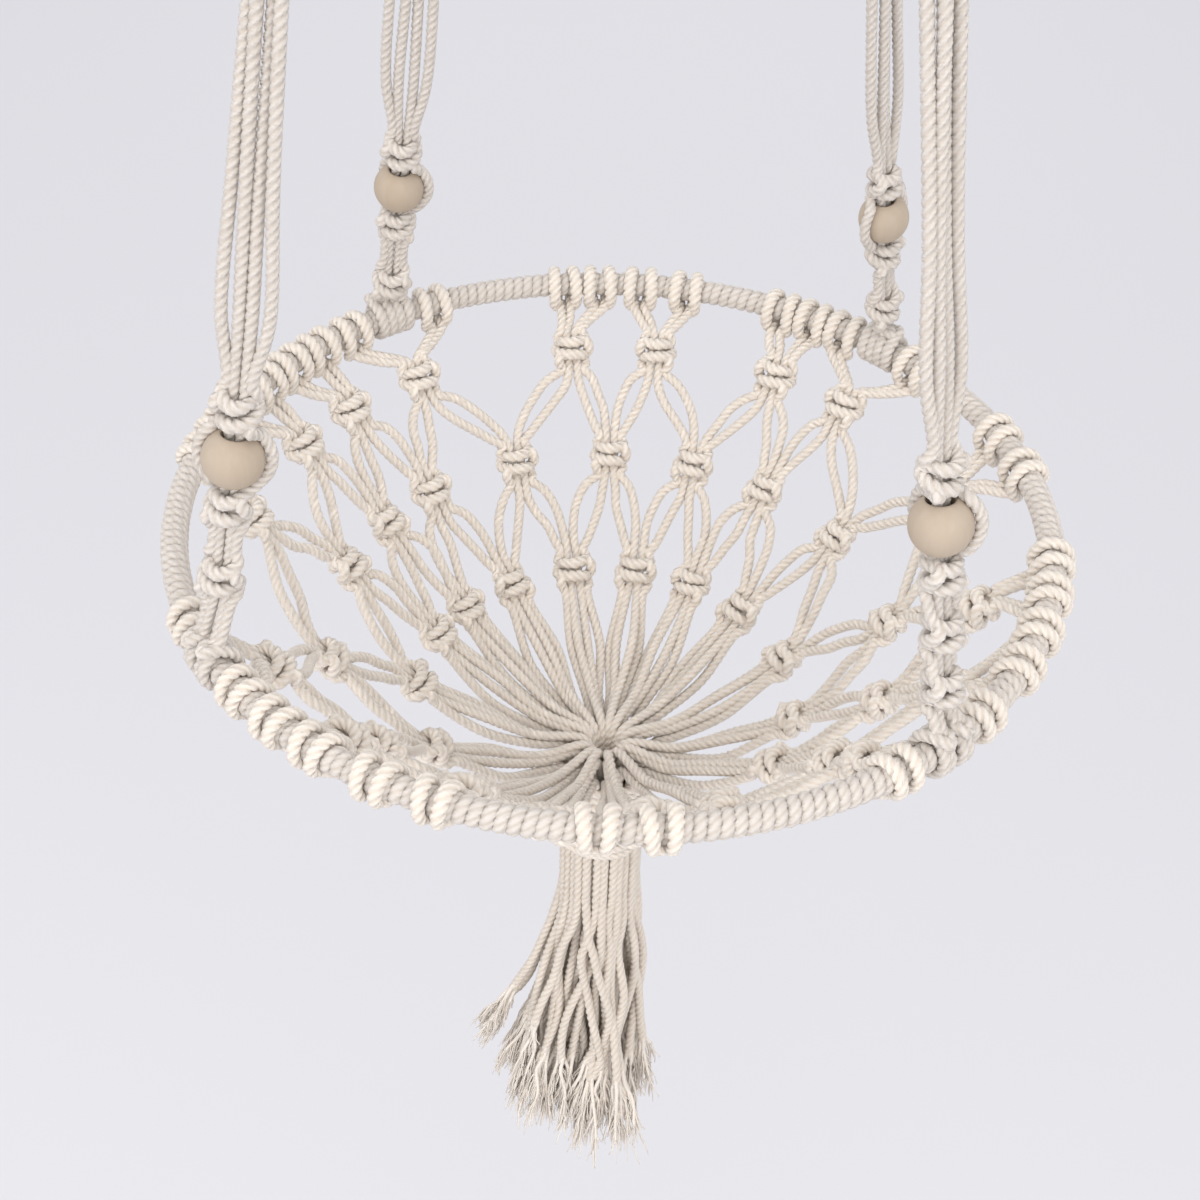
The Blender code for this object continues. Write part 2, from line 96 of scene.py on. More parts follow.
# Net units: the angles of a unit's two lark's heads and of its first knot
UNITS = (
    (39.8, 53.4, 47.0), (59.0, 64.4, 61.0), (80.0, 87.3, 84.0), (93.9, 99.5, 99.0),
    (121.2, 135.6, 128.0), (142.0, 148.0, 143.5), (154.0, 160.0, 156.0), (166.0, 172.5, 177.0),
    (208.2, 222.4, 213.0), (229.0, 235.5, 232.0), (244.0, 251.5, 251.0), (269.5, 276.5, 276.0),
    (305.0, 319.2, 309.0), (329.5, 337.0, 329.0), (344.5, 351.5, 349.0), (371.5, 380.0, 377.0),
)


def middle(node):
    """The middle of a CAD node's box."""
    low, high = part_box(node)
    return (np.array(low) + np.array(high)) / 2


def ends(node):
    """A CAD node's lowest and highest level."""
    low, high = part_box(node)
    return low[2], high[2]


HOOP_Z = middle("hoop_rod")[2]
TIE_FOOT, TIE_TOP = ends("bottom_tie")
GATHER_FOOT, GATHER_TOP = ends("gathering_wrap")
SKIRT_FOOT = ends("tassel_skirt")[0]
JOINTS = {joint["name"]: joint for joint in frame["record"]["behaviour"]["joints"]}
FIRST_BEND = JOINTS["tassel_sway_front"]["pos_m"][2]
SECOND_BEND = JOINTS["tassel_sway_side"]["pos_m"][2]
RING_LOW = JOINTS["planter_swing"]["pos_m"][2]
rng = np.random.default_rng(11)


# --- Camera, light and floor ---------------------------------------------------------------------------


def make_camera():
    """The camera looks down on the hoop from the front."""
    place = Vector((0.0, -3.2312, 2.4802)) * HOOP_RADIUS + Vector((0, 0, HOOP_Z))
    yaw, pitch, roll = radians(-0.4727), radians(40.597), radians(2.0971)
    ahead = Vector((sin(yaw) * cos(pitch), cos(yaw) * cos(pitch), -sin(pitch)))
    right = ahead.cross(Vector((0, 0, 1))).normalized()
    up = right.cross(ahead)
    tilted = right * cos(roll) + up * sin(roll)
    upward = up * cos(roll) - right * sin(roll)
    data = bpy.data.cameras.new("camera")
    data.lens = 52.67
    data.sensor_width = 36.0
    camera = bpy.data.objects.new("camera", data)
    bpy.context.scene.collection.objects.link(camera)
    axes = Matrix((tilted, upward, -ahead)).transposed().to_4x4()
    camera.matrix_world = Matrix.Translation(place) @ axes
    bpy.context.scene.camera = camera


def add_light(name, place, target, size, power, colour=(1.0, 1.0, 1.0)):
    data = bpy.data.lights.new(name, "AREA")
    data.size = size
    data.energy = power
    data.color = colour
    light = bpy.data.objects.new(name, data)
    light.location = place
    light.rotation_euler = (Vector(target) - Vector(place)).to_track_quat("-Z", "Y").to_euler()
    bpy.context.scene.collection.objects.link(light)


def make_studio():
    """A pale floor well below the tassel, and large soft lights."""
    world = bpy.data.worlds.new("studio")
    world.use_nodes = True
    sky = world.node_tree.nodes["Background"]
    sky.inputs["Color"].default_value = (0.97, 0.975, 1.0, 1.0)
    sky.inputs["Strength"].default_value = 1.0
    bpy.context.scene.world = world
    bowl = (0, 0, HOOP_Z)
    add_light("key", (-1.9, -1.5, 0.1), bowl, 1.7, 17.5, (1.0, 0.98, 0.955))
    add_light("fill", (0.6, -1.9, -0.2), bowl, 1.6, 17.0, (1.0, 0.98, 0.96))
    add_light("bowl", (0.0, -0.45, 0.15), bowl, 0.6, 1.6, (1.0, 0.97, 0.93))
    add_light("backdrop", (0.0, 2.7, SKIRT_FOOT + 0.8), (0.0, 2.71, SKIRT_FOOT), 1.6, 1.6)
    bpy.ops.mesh.primitive_plane_add(size=50.0, location=(0, 2.0, SKIRT_FOOT - 0.45))
    floor = bpy.context.object
    floor.name = "studio_floor"
    material, shader = new_material("studio_paper", 0.95)
    shader.inputs["Base Color"].default_value = (0.68, 0.675, 0.70, 1.0)
    floor.data.materials.append(material)
    bpy.context.scene.view_settings.view_transform = "Standard"


# --- Shader expressions --------------------------------------------------------------------------------


class Value:
    """A socket of a shader, on which sums and products can be written."""

    def __init__(self, shade, socket):
        self.shade = shade
        self.socket = socket

    def maths(self, operation, *others):
        inputs = {k: other for k, other in enumerate((self, *others))}
        return self.shade.node("ShaderNodeMath", {"operation": operation}, inputs)

    def __add__(self, other):
        return self.maths("ADD", other)

    def __sub__(self, other):
        return self.maths("SUBTRACT", other)

    def __rsub__(self, other):
        return (self * -1.0) + other

    def __mul__(self, other):
        return self.maths("MULTIPLY", other)

    __radd__ = __add__
    __rmul__ = __mul__


class Shade:
    """Adds nodes to one material."""

    def __init__(self, tree):
        self.tree = tree

    def node(self, kind, settings=None, inputs=None, output=0):
        """A node with its settings made first and its sockets filled with values or links."""
        made = self.tree.nodes.new(kind)
        for key, setting in (settings or {}).items():
            setattr(made, key, setting)
        for key, given in (inputs or {}).items():
            if isinstance(given, Value):
                self.tree.links.new(given.socket, made.inputs[key])
            else:
                made.inputs[key].default_value = given
        return Value(self, made.outputs[output])

    def mix(self, share, first, second):
        """A colour between two."""
        settings = {"data_type": "RGBA"}
        return self.node("ShaderNodeMix", settings, {0: share, 6: first, 7: second}, output=2)

    def noise(self, vector, scale, detail=2.0):
        inputs = {"Vector": vector, "Scale": scale, "Detail": detail}
        return self.node("ShaderNodeTexNoise", None, inputs)

    def link(self, value, socket):
        self.tree.links.new(value.socket, socket)


def new_material(name, roughness, metallic=0.0):
    material = bpy.data.materials.new(name)
    material.use_nodes = True
    shader = material.node_tree.nodes["Principled BSDF"]
    shader.inputs["Roughness"].default_value = roughness
    shader.inputs["Metallic"].default_value = metallic
    return material, shader


def cotton_material(name, light, dark):
    """Laid cotton: long fibres along the strands, painted shade in the grooves between them, soft mottling.
    """
    material, shader = new_material(name, 0.93)
    shader.inputs["Sheen Weight"].default_value = 0.25
    shader.inputs["Sheen Roughness"].default_value = 0.6
    shader.inputs["Specular IOR Level"].default_value = 0.25
    s = Shade(material.node_tree)
    uv = s.node("ShaderNodeUVMap", {"uv_map": "cord"})
    along = s.node("ShaderNodeSeparateXYZ", None, {0: uv})
    round_it = Value(s, along.socket.node.outputs[1]) * (2 * pi)
    groove = (round_it * 3.0).maths("COSINE") * -0.5 + 0.5
    slant = round_it + along * 260.0
    fibre_place = s.node(
        "ShaderNodeCombineXYZ",
        None,
        {0: along * 120.0, 1: slant.maths("COSINE") * 8.0, 2: slant.maths("SINE") * 8.0},
    )
    fibres = s.noise(fibre_place, 1.0, 3.0)
    place = s.node("ShaderNodeTexCoord", output=3)
    mottle = s.noise(place, 45.0, 2.0)
    colour = s.mix(mottle, (*light, 1.0), (*dark, 1.0))
    # Painted shade: the grooves between the strands are mixed towards this darker colour. The darker fibres,
    # a real tone of the cotton, are mixed towards it too.
    shade_and_dark_fibre_colour = tuple(c * f for c, f in zip(dark, (0.72, 0.66, 0.58)))
    deep = (groove * groove * groove * 0.5) + (fibres - 0.5) * 0.55
    painted_shade_and_fibre_share = deep.maths("MAXIMUM", 0.0).maths("MINIMUM", 1.0)
    colour = s.mix(painted_shade_and_fibre_share, colour, (*shade_and_dark_fibre_colour, 1.0))
    s.link(colour, shader.inputs["Base Color"])
    height = fibres * 0.7 + (1.0 - groove) * 0.3
    bump = s.node("ShaderNodeBump", None, {"Strength": 0.75, "Distance": 0.0007, "Height": height})
    s.link(bump, shader.inputs["Normal"])
    return material


def wood_material(name, light, dark):
    """Raw pale wood: fine straight grain with a few darker lines."""
    material, shader = new_material(name, 0.6)
    shader.inputs["Specular IOR Level"].default_value = 0.35
    s = Shade(material.node_tree)
    place = s.node("ShaderNodeTexCoord", output=3)
    drawn = s.node("ShaderNodeMapping", None, {"Vector": place, "Scale": (420.0, 420.0, 36.0)})
    grain = s.noise(drawn, 1.0, 4.0)
    broad = s.node("ShaderNodeMapping", None, {"Vector": place, "Scale": (120.0, 60.0, 18.0)})
    bands = s.noise(broad, 1.0, 2.0)
    share = (grain * 0.6 + bands * 0.9 - 0.4).maths("MAXIMUM", 0.0).maths("MINIMUM", 1.0)
    s.link(s.mix(share, (*light, 1.0), (*dark, 1.0)), shader.inputs["Base Color"])
    s.link(grain * 0.2 + 0.48, shader.inputs["Roughness"])
    bump = s.node("ShaderNodeBump", None, {"Strength": 0.12, "Distance": 0.0004, "Height": grain})
    s.link(bump, shader.inputs["Normal"])
    return material


def steel_material(name):
    """Drawn steel rod with fine marks."""
    material, shader = new_material(name, 0.35, 1.0)
    s = Shade(material.node_tree)
    place = s.node("ShaderNodeTexCoord", output=3)
    marks = s.noise(place, 700.0, 3.0)
    s.link(s.mix(marks, (0.55, 0.55, 0.56, 1.0), (0.66, 0.66, 0.67, 1.0)), shader.inputs["Base Color"])
    s.link(marks * 0.25 + 0.25, shader.inputs["Roughness"])
    return material


# --- Ropes ---------------------------------------------------------------------------------------------


def unit(vector):
    vector = np.asarray(vector, float)
    return vector / np.linalg.norm(vector)


def polar(radius, angle, height=0.0):
    return np.array([radius * cos(radians(angle)), radius * sin(radians(angle)), height])


def padded(points):
    """Points as (x, y, z, fullness, flatness); the last two are 1 where they are left out."""
    return np.array([[*point, *(1.0,) * (5 - len(point))] for point in points])


def smooth(points, per_span=8):
    """A centripetal curve through points."""
    p = padded(points)
    p = np.vstack([2 * p[0] - p[1], p, 2 * p[-1] - p[-2]])
    gaps = np.sqrt(np.maximum(np.linalg.norm(np.diff(p[:, :3], axis=0), axis=1), 1e-7))
    pieces = []
    for k in range(1, len(p) - 2):
        t0 = 0.0
        t1 = t0 + gaps[k - 1]
        t2 = t1 + gaps[k]
        t3 = t2 + gaps[k + 1]
        t = np.linspace(t1, t2, per_span, endpoint=False)[:, None]
        a = (t1 - t) / (t1 - t0) * p[k - 1] + (t - t0) / (t1 - t0) * p[k]
        b = (t2 - t) / (t2 - t1) * p[k] + (t - t1) / (t2 - t1) * p[k + 1]
        c = (t3 - t) / (t3 - t2) * p[k + 1] + (t - t2) / (t3 - t2) * p[k + 2]
        d = (t2 - t) / (t2 - t0) * a + (t - t0) / (t2 - t0) * b
        e = (t3 - t) / (t3 - t1) * b + (t - t1) / (t3 - t1) * c
        pieces.append((t2 - t) / (t2 - t1) * d + (t - t1) / (t2 - t1) * e)
    pieces.append(p[-2:-1])
    return np.vstack(pieces)


def even(line, step):
    """The same line with its points spaced evenly."""
    gaps = np.linalg.norm(np.diff(line[:, :3], axis=0), axis=1)
    along = np.concatenate([[0.0], np.cumsum(gaps)])
    count = max(2, round(along[-1] / step)) + 1
    where = np.linspace(0.0, along[-1], count)
    return np.stack([np.interp(where, along, line[:, k]) for k in range(line.shape[1])], axis=1)


def length_of(line):
    return float(np.linalg.norm(np.diff(line[:, :3], axis=0), axis=1).sum())


def carried_normals(line):
    """Directions along the line, and normals carried along it without twist."""
    ahead = np.gradient(line, axis=0)
    ahead /= np.linalg.norm(ahead, axis=1)[:, None]
    side = np.cross(ahead[0], (0.13, 0.21, 0.97))
    if np.linalg.norm(side) < 0.1:
        side = np.cross(ahead[0], (1.0, 0.0, 0.0))
    normals = np.empty_like(ahead)
    normals[0] = unit(side)
    for k in range(1, len(line)):
        carried = normals[k - 1] - ahead[k] * normals[k - 1].dot(ahead[k])
        normals[k] = carried / np.linalg.norm(carried)
    return ahead, normals


def away_from_hoop(points):
    """The direction of each point from the nearest place on the hoop."""
    on_hoop = points * (1.0, 1.0, 0.0)
    on_hoop *= (HOOP_RADIUS / np.maximum(np.linalg.norm(on_hoop, axis=1), MM))[:, None]
    on_hoop[:, 2] = HOOP_Z
    away = points - on_hoop
    return away / np.maximum(np.linalg.norm(away, axis=1), MM)[:, None]


class Ropes:
    """Collects closed tubes as one mesh."""

    def __init__(self):
        self.points = []
        self.faces = []
        self.uvs = []
        self.count = 0

    def add(self, line, thickness=CORD, lobes=LOBES, lay=LAY, step=STEP, grooved=1.0):
        """A rope along a smooth line of (x, y, z, fullness, flatness). Where the flatness is under 1, the
        cord is pressed that much against the hoop."""
        line = even(padded(line), step)
        fullness, flatness = line[:, 3], line[:, 4]
        line = line[:, :3]
        ahead, normals = carried_normals(line)
        across = np.cross(ahead, normals)
        n, m = len(line), len(lobes)
        along = np.linspace(0.0, length_of(line), n)
        start = rng.uniform(0, 2 * pi)
        turn = 2 * pi * (np.arange(m) / m)[None, :] + (2 * pi * along / lay)[:, None] + start
        radius = thickness / 2 * np.array(lobes)[None, :] * fullness[:, None]
        out = (radius * np.cos(turn))[:, :, None] * normals[:, None, :]
        out = out + (radius * np.sin(turn))[:, :, None] * across[:, None, :]
        away = away_from_hoop(line)
        pressed = np.einsum("ijk,ik->ij", out, away) * (1.0 - flatness)[:, None]
        ring = (line[:, None, :] + out - pressed[:, :, None] * away[:, None, :]).reshape(-1, 3)
        caps = np.stack([line[0] - ahead[0] * thickness * 0.2, line[-1] + ahead[-1] * thickness * 0.2])
        base = self.count
        i, j = np.meshgrid(np.arange(n - 1), np.arange(m), indexing="ij")
        after = (j + 1) % m
        quads = np.stack([i * m + j, i * m + after, (i + 1) * m + after, (i + 1) * m + j], axis=-1)
        u = along + rng.uniform(0, 5.0)
        # v runs round the section, and the cotton material paints shade in the grooves from it, so grooved=0
        # leaves the painted groove shade out.
        v = np.arange(m + 1) / m * grooved
        us = np.stack([u[i], u[i], u[i + 1], u[i + 1]], axis=-1)
        vs = np.stack([v[j], v[j + 1], v[j + 1], v[j]], axis=-1)
        self.faces.append((quads.reshape(-1, 4) + base, np.stack([us, vs], axis=-1).reshape(-1, 4, 2)))
        j = np.arange(m)
        after = (j + 1) % m
        foot = np.stack([np.full(m, n * m), after, j], axis=-1)
        last = (n - 1) * m
        head = np.stack([np.full(m, n * m + 1), last + j, last + after], axis=-1)
        for fan, place in ((foot, u[0]), (head, u[-1])):
            uv = np.stack([np.full((m, 3), place), np.tile(v[:m, None], (1, 3))], axis=-1)
            self.faces.append((fan + base, uv))
        self.points.append(ring)
        self.points.append(caps)
        self.count += len(ring) + 2

    def build(self, name, material):
        """The collected tubes as one object at the origin."""
        points = np.vstack(self.points)
        sizes = np.concatenate([np.full(len(f), f.shape[1]) for f, _ in self.faces])
        corners = np.concatenate([f.reshape(-1) for f, _ in self.faces])
        uvs = np.concatenate([uv.reshape(-1, 2) for _, uv in self.faces])
        mesh = bpy.data.meshes.new(name)
        mesh.vertices.add(len(points))
        mesh.vertices.foreach_set("co", points.astype(np.float32).reshape(-1))
        mesh.loops.add(len(corners))
        mesh.loops.foreach_set("vertex_index", corners.astype(np.int32))
        mesh.polygons.add(len(sizes))
        starts = np.concatenate([[0], np.cumsum(sizes)[:-1]])
        mesh.polygons.foreach_set("loop_start", starts.astype(np.int32))
        mesh.polygons.foreach_set("use_smooth", np.ones(len(sizes), bool))
        layer = mesh.uv_layers.new(name="cord")
        layer.data.foreach_set("uv", uvs.astype(np.float32).reshape(-1))
        mesh.materials.append(material)
        mesh.update(calc_edges=True)
        mesh.validate()
        obj = bpy.data.objects.new(name, mesh)
        bpy.context.scene.collection.objects.link(obj)
        return obj


class Place:
    """A frame at a point: x across, y towards the front of the knot, z back up the cords."""

    def __init__(self, origin, x, z):
        self.origin = np.asarray(origin, float)
        self.z = unit(z)
        self.y = unit(np.cross(self.z, x))
        self.x = np.cross(self.y, self.z)

    def at(self, x, y, z, fullness=1.0):
        return np.array([*(self.origin + self.x * x + self.y * y + self.z * z), fullness, 1.0])


# A square knot's cords, in cord thicknesses: across, towards the front, back up the cords, and fullness.
# The first crosses the front twice. The second passes behind, and comes up through the first one's loop.
FRONT_CORD = (
    (-1.10, 0.10, 2.3, 1.00), (-1.45, 0.20, 1.6, 1.00), (-1.05, 0.80, 1.05, 1.08),
    (0.00, 1.12, 0.72, 1.20), (0.95, 0.75, 0.95, 1.05), (1.15, -0.10, 1.05, 0.95),
    (1.40, -0.75, 0.75, 0.95), (1.62, -0.40, 0.15, 1.08), (1.55, 0.25, -0.25, 1.12),
    (1.00, 0.85, -0.60, 1.15), (0.00, 1.12, -0.78, 1.20), (-0.95, 0.75, -0.75, 1.05),
    (-1.15, -0.10, -0.75, 0.95), (-1.40, -0.60, -1.10, 0.95), (-1.45, -0.35, -1.6, 1.00),
    (-1.10, -0.05, -2.3, 1.00),
)
BACK_CORD = (
    (1.10, 0.10, 2.3, 1.00), (1.45, -0.20, 1.6, 1.00), (1.05, -0.80, 1.05, 1.05),
    (0.00, -1.08, 0.75, 1.15), (-1.00, -0.70, 1.00, 1.00), (-1.20, 0.10, 1.15, 1.00),
    (-1.50, 0.90, 0.90, 1.08), (-1.72, 0.55, 0.25, 1.12), (-1.60, -0.15, -0.30, 1.08),
    (-1.05, -0.80, -0.65, 1.00), (0.00, -1.08, -0.80, 1.15), (0.95, -0.70, -0.75, 1.00),
    (1.20, 0.10, -0.70, 1.00), (1.48, 0.85, -1.00, 1.08), (1.50, 0.50, -1.6, 1.02),
    (1.10, 0.05, -2.3, 1.00),
)
FILLERS = ((2.2, 1.1, 0.0, -1.1, -2.2), 0.44)


def square_knot(place, thickness=CORD, mirrored=False, width=1.0, height=1.0):
    """The four cords of a square knot, from left to right, each as points from top to bottom."""
    across = thickness * width * (-1.0 if mirrored else 1.0)
    along = thickness * height

    def put(points):
        return [place.at(x * across, y * thickness, z * along, full) for x, y, z, full in points]

    levels, aside = FILLERS
    left = [place.at(-aside * thickness, 0.0, z * along, 0.93) for z in levels]
    right = [place.at(aside * thickness, 0.0, z * along, 0.93) for z in levels]
    front = put(FRONT_CORD)
    back = put(BACK_CORD)
    if mirrored:
        return [back, left, right, front]
    return [front, left, right, back]


# Half a lark's head, in millimetres: towards the knot, towards the side where the cord's fold lies, along
# the hoop from the middle of the hitch, and the cord's fullness and flatness. It runs from the fold round
# to the end.
HALF_HITCH = (
    (6.6, 7.3, 0.0, 1.05, 1.0), (7.7, 6.4, 2.7, 1.10, 1.0), (8.4, 3.8, 4.3, 1.16, 0.92),
    (8.0, 0.2, 4.8, 1.22, 0.82), (6.4, -3.4, 4.8, 1.28, 0.76), (3.2, -5.6, 4.7, 1.30, 0.72),
    (-1.1, -6.4, 4.5, 1.30, 0.70), (-5.0, -4.0, 4.2, 1.26, 0.72), (-6.4, 0.0, 3.9, 1.20, 0.76),
    (-4.8, 4.5, 3.4, 1.12, 0.84), (-0.5, 6.5, 2.9, 1.02, 0.92), (4.0, 5.3, 2.6, 1.0, 1.0),
    (7.6, 3.5, 2.4, 1.0, 1.0), (10.2, 2.4, 2.2, 1.0, 1.0),
)


def half_hitch(angle, knot, side, spread=1.0, fold_outside=True):
    """The points of half a lark's head at this angle of the hoop, from its fold on to the knot's side."""
    centre = polar(HOOP_RADIUS, angle, HOOP_Z)
    along = np.array([-sin(radians(angle)), cos(radians(angle)), 0.0])
    toward = knot - centre
    toward = unit(toward - along * toward.dot(along))
    fold = np.cross(toward, along)
    outward = polar(1.0, angle)
    if (fold.dot(outward) > 0) != fold_outside:
        fold = -fold
    points = []
    for e, n, t, fullness, flatness in HALF_HITCH:
        point = centre + (toward * e + fold * n + along * side * t * spread) * MM
        points.append(np.array([*point, fullness, flatness]))
    return points


# --- Net -----------------------------------------------------------------------------------------------


def wrapped_mean(first, second):
    """The angle halfway from first on to second, going up."""
    while second < first:
        second += 360
    return (first + second) / 2


COUNT = len(UNITS)
FIRST = [knot for _, _, knot in UNITS]
SECOND = [wrapped_mean(FIRST[i], FIRST[(i + 1) % COUNT]) for i in range(COUNT)]
THIRD = [wrapped_mean(SECOND[i - 1], SECOND[i]) for i in range(COUNT)]
HOOP_ROW = (HOOP_RADIUS, 0.0)
MOUTH_ROW = (0.034, 0.126)


def row_point(row, angle):
    return polar(row[0], angle, HOOP_Z - row[1])


def net_place(row, angle, above, below):
    """A knot's frame, its front towards the inside of the bowl and a little out of true."""
    angle += rng.uniform(-0.4, 0.4)
    up = row_point(above, angle) - row_point(below, angle)
    across = np.array([-sin(radians(angle)), cos(radians(angle)), 0.0])
    across = across + unit(up) * rng.uniform(-0.16, 0.16)
    place = Place(row_point(row, angle), across, up)
    if place.y.dot(polar(1.0, angle)) > 0:
        place.y = -place.y
    return place


def net_knots():
    """Each row's knots as lists of their four cords, low angle first."""
    rows = []
    for row, angles, above, below in (
        (FIRST_ROW, FIRST, HOOP_ROW, SECOND_ROW),
        (SECOND_ROW, SECOND, FIRST_ROW, THIRD_ROW),
        (THIRD_ROW, THIRD, SECOND_ROW, MOUTH_ROW),
    ):
        knots = []
        for angle in angles:
            place = net_place(row, angle, above, below)
            thickness = CORD * rng.uniform(0.94, 1.05)
            knots.append(square_knot(place, thickness, rng.random() < 0.35, 0.96, 0.82))
        rows.append(knots)
    return rows


def slack(start, end):
    """A point halfway between two, a little off the straight line."""
    point = (start[:3] + end[:3]) / 2 + rng.normal(0.0, 0.0006, 3)
    return np.array([*point, 1.0, 1.0])


def run(start, end, leave, arrive, bow):
    """Points of a cord between two knots, from the ways it leaves and arrives and its bow to one side."""
    start, end = start[:3], end[:3]
    gap = np.linalg.norm(end - start)
    first, last = unit(leave) * gap * 0.85, unit(arrive) * gap * 0.6
    points = []
    for t in (0.2, 0.4, 0.6, 0.8):
        point = (2 * t**3 - 3 * t**2 + 1) * start + (t**3 - 2 * t**2 + t) * first
        point = point + (3 * t**2 - 2 * t**3) * end + (t**3 - t**2) * last
        point = point + bow * sin(pi * t) + rng.normal(0.0, 0.00035, 3)
        points.append(np.array([*point, 1.0, 1.0]))
    return points


def net_strand(i, position, rows):
    """One cord end of unit i from its first knot to its third. position 0 to 3 is low angle to high."""
    first = rows[0][i][position]
    lower = rows[1][i - 1] if position < 2 else rows[1][i]
    second = lower[position + 2 if position < 2 else position - 2]
    third = rows[2][i][position]
    outward = (-1.0, 1.0, -1.0, 1.0)[position]
    points = [*first]
    for above, below, angle, worker in (
        (first, second, FIRST[i], position in (0, 3)),
        (second, third, THIRD[i], position in (1, 2)),
    ):
        along = np.array([-sin(radians(angle)), cos(radians(angle)), 0.0]) * outward
        down = unit(below[0][:3] - above[-1][:3])
        fall = unit(below[-1][:3] - below[0][:3])
        drop = unit(above[-1][:3] - above[0][:3])
        leave = drop * 0.1 + down * 0.6 + along * 0.8 if worker else drop * 0.9 + down * 0.1
        bow = along * (0.0022 if worker else 0.0007) * rng.uniform(0.4, 1.5)
        points += run(above[-1], below[0], leave, fall * 0.25 + down * 0.75, bow)
        points += [*below]
    return points


def into_tie(i, position):
    """From the third knot over the tie's top turn and down through the tie."""
    layer = (0, 2, 3, 1)[position] if i % 2 else (1, 3, 2, 0)[position]
    angle = THIRD[i] + (position - 1.5) * 3.6
    inside = (0.0160, 0.0118, 0.0078, 0.0040)[layer]
    above = TIE_TOP + 0.0024 + 0.0018 * layer
    sway = rng.normal(0.0, 0.0008, 3)
    midway = polar(0.050, THIRD[i] + (position - 1.5) * 4.9, above + 0.0125) + sway
    rim = polar(0.030, angle, above + 0.0026)
    lip = polar(inside + 0.0050, angle + rng.normal(0, 2), above + 0.0002)
    throat = polar(inside + 0.0008, angle + 1.0, TIE_TOP - 0.0042 + 0.0006 * layer)
    deep = polar(inside, angle + 2.0, TIE_TOP - 0.016)
    foot = polar(inside, angle + 3.0, TIE_FOOT + 0.012)
    return [np.array([*p, 1.0, 1.0]) for p in (midway, rim, lip, throat, deep, foot)]


def make_net():
    """Sixteen pieces, each two cords hitched on the hoop and knotted down to the tie."""
    rows = net_knots()
    for i in range(COUNT):
        ropes = Ropes()
        for lark in (0, 1):
            halves = []
            for side, position in ((-1, 2 * lark), (1, 2 * lark + 1)):
                knot_top = rows[0][i][position][0][:3]
                hitch = half_hitch(UNITS[i][lark], knot_top, side, rng.uniform(0.92, 1.06))
                strand = net_strand(i, position, rows)
                halves.append(hitch + [slack(hitch[-1], strand[0])] + strand + into_tie(i, position))
            cord = halves[0][::-1] + halves[1][1:]
            ropes.add(smooth(cord))
        piece = ropes.build(f"net_cords_{i + 1:02d}", COTTON_NET_PAINTED_LIGHT)
        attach(piece, "planter")
        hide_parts(f"net_section_{i + 1:02d}")


# --- Hoop ----------------------------------------------------------------------------------------------


def make_winding():
    """The cord wound round the rod, turn against turn."""
    radius = (ROD_RADIUS + WINDING_RADIUS) / 2
    per_turn = 18
    count = WINDING_TURNS * per_turn
    share = np.arange(count + 1) / count
    hoop_angle = radians(STRAPS[2][1]) + 2 * pi * share
    wobble = 0.12 * np.sin(share * 2 * pi * 31) + 0.1 * np.sin(share * 2 * pi * 73 + 1.0)
    coil = 2 * pi * WINDING_TURNS * share + wobble
    reach = HOOP_RADIUS + radius * np.cos(coil)
    line = np.stack(
        [
            reach * np.cos(hoop_angle),
            reach * np.sin(hoop_angle),
            HOOP_Z + radius * np.sin(coil),
            np.ones(count + 1),
            np.full(count + 1, 0.68),
        ],
        axis=1,
    )
    ropes = Ropes()
    ropes.add(line, 0.0050, WINDING_LOBES, lay=0.0090)
    winding = ropes.build("hoop_winding_cord", COTTON_CORD)
    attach(winding, "planter")
    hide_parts("hoop_winding")


# --- Straps --------------------------------------------------------------------------------------------


# How each strap lies: the directions in which its two outer cords pass the bead, how much narrower it
# gets above its knots, where in the gathering it ends in millimetres, and how far it bows sideways
STRAP_LIE = {
    "back_right": ((227.0, 47.0), 0.45, (4.4, 4.4), 0.0),
    "back_left": ((128.0, 8.0), 1.0, (-4.4, 4.4), 0.0),
    "front_left": ((165.0, 12.0), 0.66, (-5.0, -4.4), -0.0042),
    "front_right": ((125.0, -4.0), 0.55, (4.4, -4.4), 0.0),
}


def facing_front(place):
    """The same frame with its y towards the front."""
    if place.y[1] > 0:
        place.y = -place.y
    return place


def strap_place(index, height):
    """A frame on the strap's middle line with its z up along the strap, and the length of that line."""
    _, angle, across_angle, _, _, layer = STRAPS[index]
    foot = polar(HOOP_RADIUS, angle, HOOP_Z)
    top = np.array([0.0, layer * ROW_PITCH, GATHER_FOOT])
    up = unit(top - foot)
    place = facing_front(Place(foot + up * height, polar(1.0, across_angle), up))
    return place, float(np.linalg.norm(top - foot))


